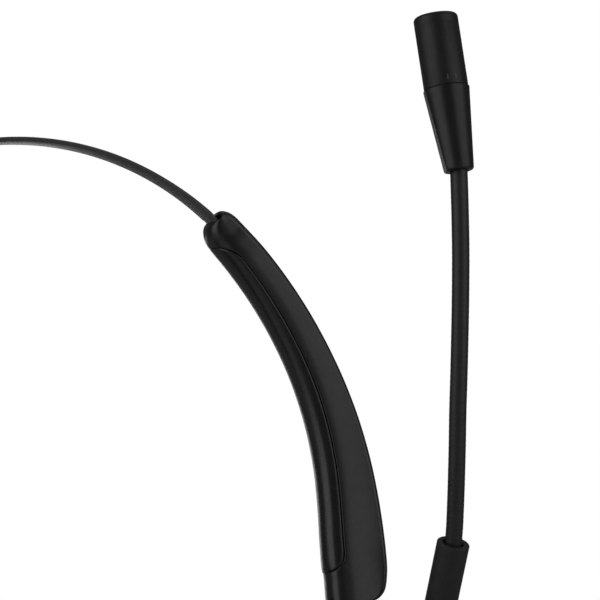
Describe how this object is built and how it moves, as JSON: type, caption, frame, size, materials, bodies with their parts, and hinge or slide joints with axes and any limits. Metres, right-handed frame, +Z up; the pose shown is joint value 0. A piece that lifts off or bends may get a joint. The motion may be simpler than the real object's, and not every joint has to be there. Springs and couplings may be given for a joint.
{
  "type": "office headset",
  "caption": "Lightweight on-ear office headset: thin sprung steel headband, sliding arms, tilting cushioned cups and a gooseneck boom microphone that swings up.",
  "frame": {"origin": "on the ear axis, midway between the two ear cushions", "axes": "+Z up, wearer faces -Y, boom on the +X arm"},
  "size_m": [0.1842, 0.0577, 0.1859],
  "materials": {
    "band_steel": "black coated spring steel, satin",
    "bright_steel": "plain turned steel",
    "screw_steel": "zinc plated",
    "spring_steel": "rolled spring steel",
    "arm_plastic": "fine spark-eroded satin",
    "cover_plastic": "fine spark-eroded satin",
    "cup_plastic": "fine spark-eroded satin",
    "hub_plastic": "satin",
    "baffle_plastic": "matt",
    "driver_plastic": "matt",
    "magnet_steel": "zinc plated",
    "diaphragm_film": "clear film",
    "speaker_cloth": "woven acoustic cloth",
    "leatherette": "grained leatherette over foam",
    "gland_rubber": "matt",
    "boom_rubber": "matt",
    "gooseneck_jacket": "matt, fine ribbed",
    "mic_plastic": "satin"
  },
  "bodies": {
    "headband": {"headband_strip": "band_steel", "stop_rivets": "bright_steel"},
    "arm_right": {"arm_shell_right": "arm_plastic", "arm_cover_right": "cover_plastic", "slider_spring_right": "spring_steel", "cup_hinge_pins_right": "bright_steel", "boom_friction_washer": "bright_steel"},
    "cup_right": {"cup_shell_right": "cup_plastic", "cup_baffle_right": "baffle_plastic", "cup_screws_right": "screw_steel", "driver_frame_right": "driver_plastic", "driver_magnet_right": "magnet_steel", "driver_diaphragm_right": "diaphragm_film", "speaker_cloth_right": "speaker_cloth", "ear_cushion_right": "leatherette", "cable_gland_right": "gland_rubber"},
    "arm_left": {"arm_shell_left": "arm_plastic", "arm_cover_left": "cover_plastic", "slider_spring_left": "spring_steel", "cup_hinge_pins_left": "bright_steel", "pivot_cap_left": "cup_plastic"},
    "cup_left": {"cup_shell_left": "cup_plastic", "cup_baffle_left": "baffle_plastic", "cup_screws_left": "screw_steel", "driver_frame_left": "driver_plastic", "driver_magnet_left": "magnet_steel", "driver_diaphragm_left": "diaphragm_film", "speaker_cloth_left": "speaker_cloth", "ear_cushion_left": "leatherette", "cable_gland_left": "gland_rubber"},
    "boom_base": {"boom_hub": "hub_plastic", "boom_hub_cap": "cup_plastic", "boom_retaining_ring": "spring_steel", "boom_sleeve": "boom_rubber", "gooseneck_lower": "gooseneck_jacket"},
    "boom_middle": {"gooseneck_middle": "gooseneck_jacket"},
    "boom_tip": {"gooseneck_upper": "gooseneck_jacket", "mic_collar": "mic_plastic", "mic_housing": "mic_plastic", "mic_end_cap": "mic_plastic", "mic_element": "magnet_steel", "mic_boot": "gland_rubber"}
  },
  "joints": [
    {"name": "arm_slide_right", "type": "hinge", "parent": "headband", "child": "arm_right", "pos_m": [-0.02728, 0, 0.03905], "axis": [0, 1, 0], "range_deg": [0, 14]},
    {"name": "arm_slide_left", "type": "hinge", "parent": "headband", "child": "arm_left", "pos_m": [0.02728, 0, 0.03905], "axis": [0, -1, 0], "range_deg": [0, 14]},
    {"name": "cup_tilt_right", "type": "hinge", "parent": "arm_right", "child": "cup_right", "pos_m": [0.072, 0, 0], "axis": [0, 1, 0], "range_deg": [-10, 10]},
    {"name": "cup_tilt_left", "type": "hinge", "parent": "arm_left", "child": "cup_left", "pos_m": [-0.072, 0, 0], "axis": [0, -1, 0], "range_deg": [-10, 10]},
    {"name": "boom_swing", "type": "hinge", "parent": "arm_right", "child": "boom_base", "pos_m": [0.0884, 0, 0], "axis": [1, 0, 0], "range_deg": [-174, 125]},
    {"name": "gooseneck_bend_in", "type": "hinge", "parent": "boom_base", "child": "boom_middle", "pos_m": [0.09262, -0.02456, 0.06057], "axis": [0, -0.9742, -0.2259], "range_deg": [-20, 20]},
    {"name": "gooseneck_bend_up", "type": "hinge", "parent": "boom_middle", "child": "boom_tip", "pos_m": [0.09262, -0.02882, 0.09824], "axis": [-1, 0, 0], "range_deg": [-20, 20]}
  ]
}
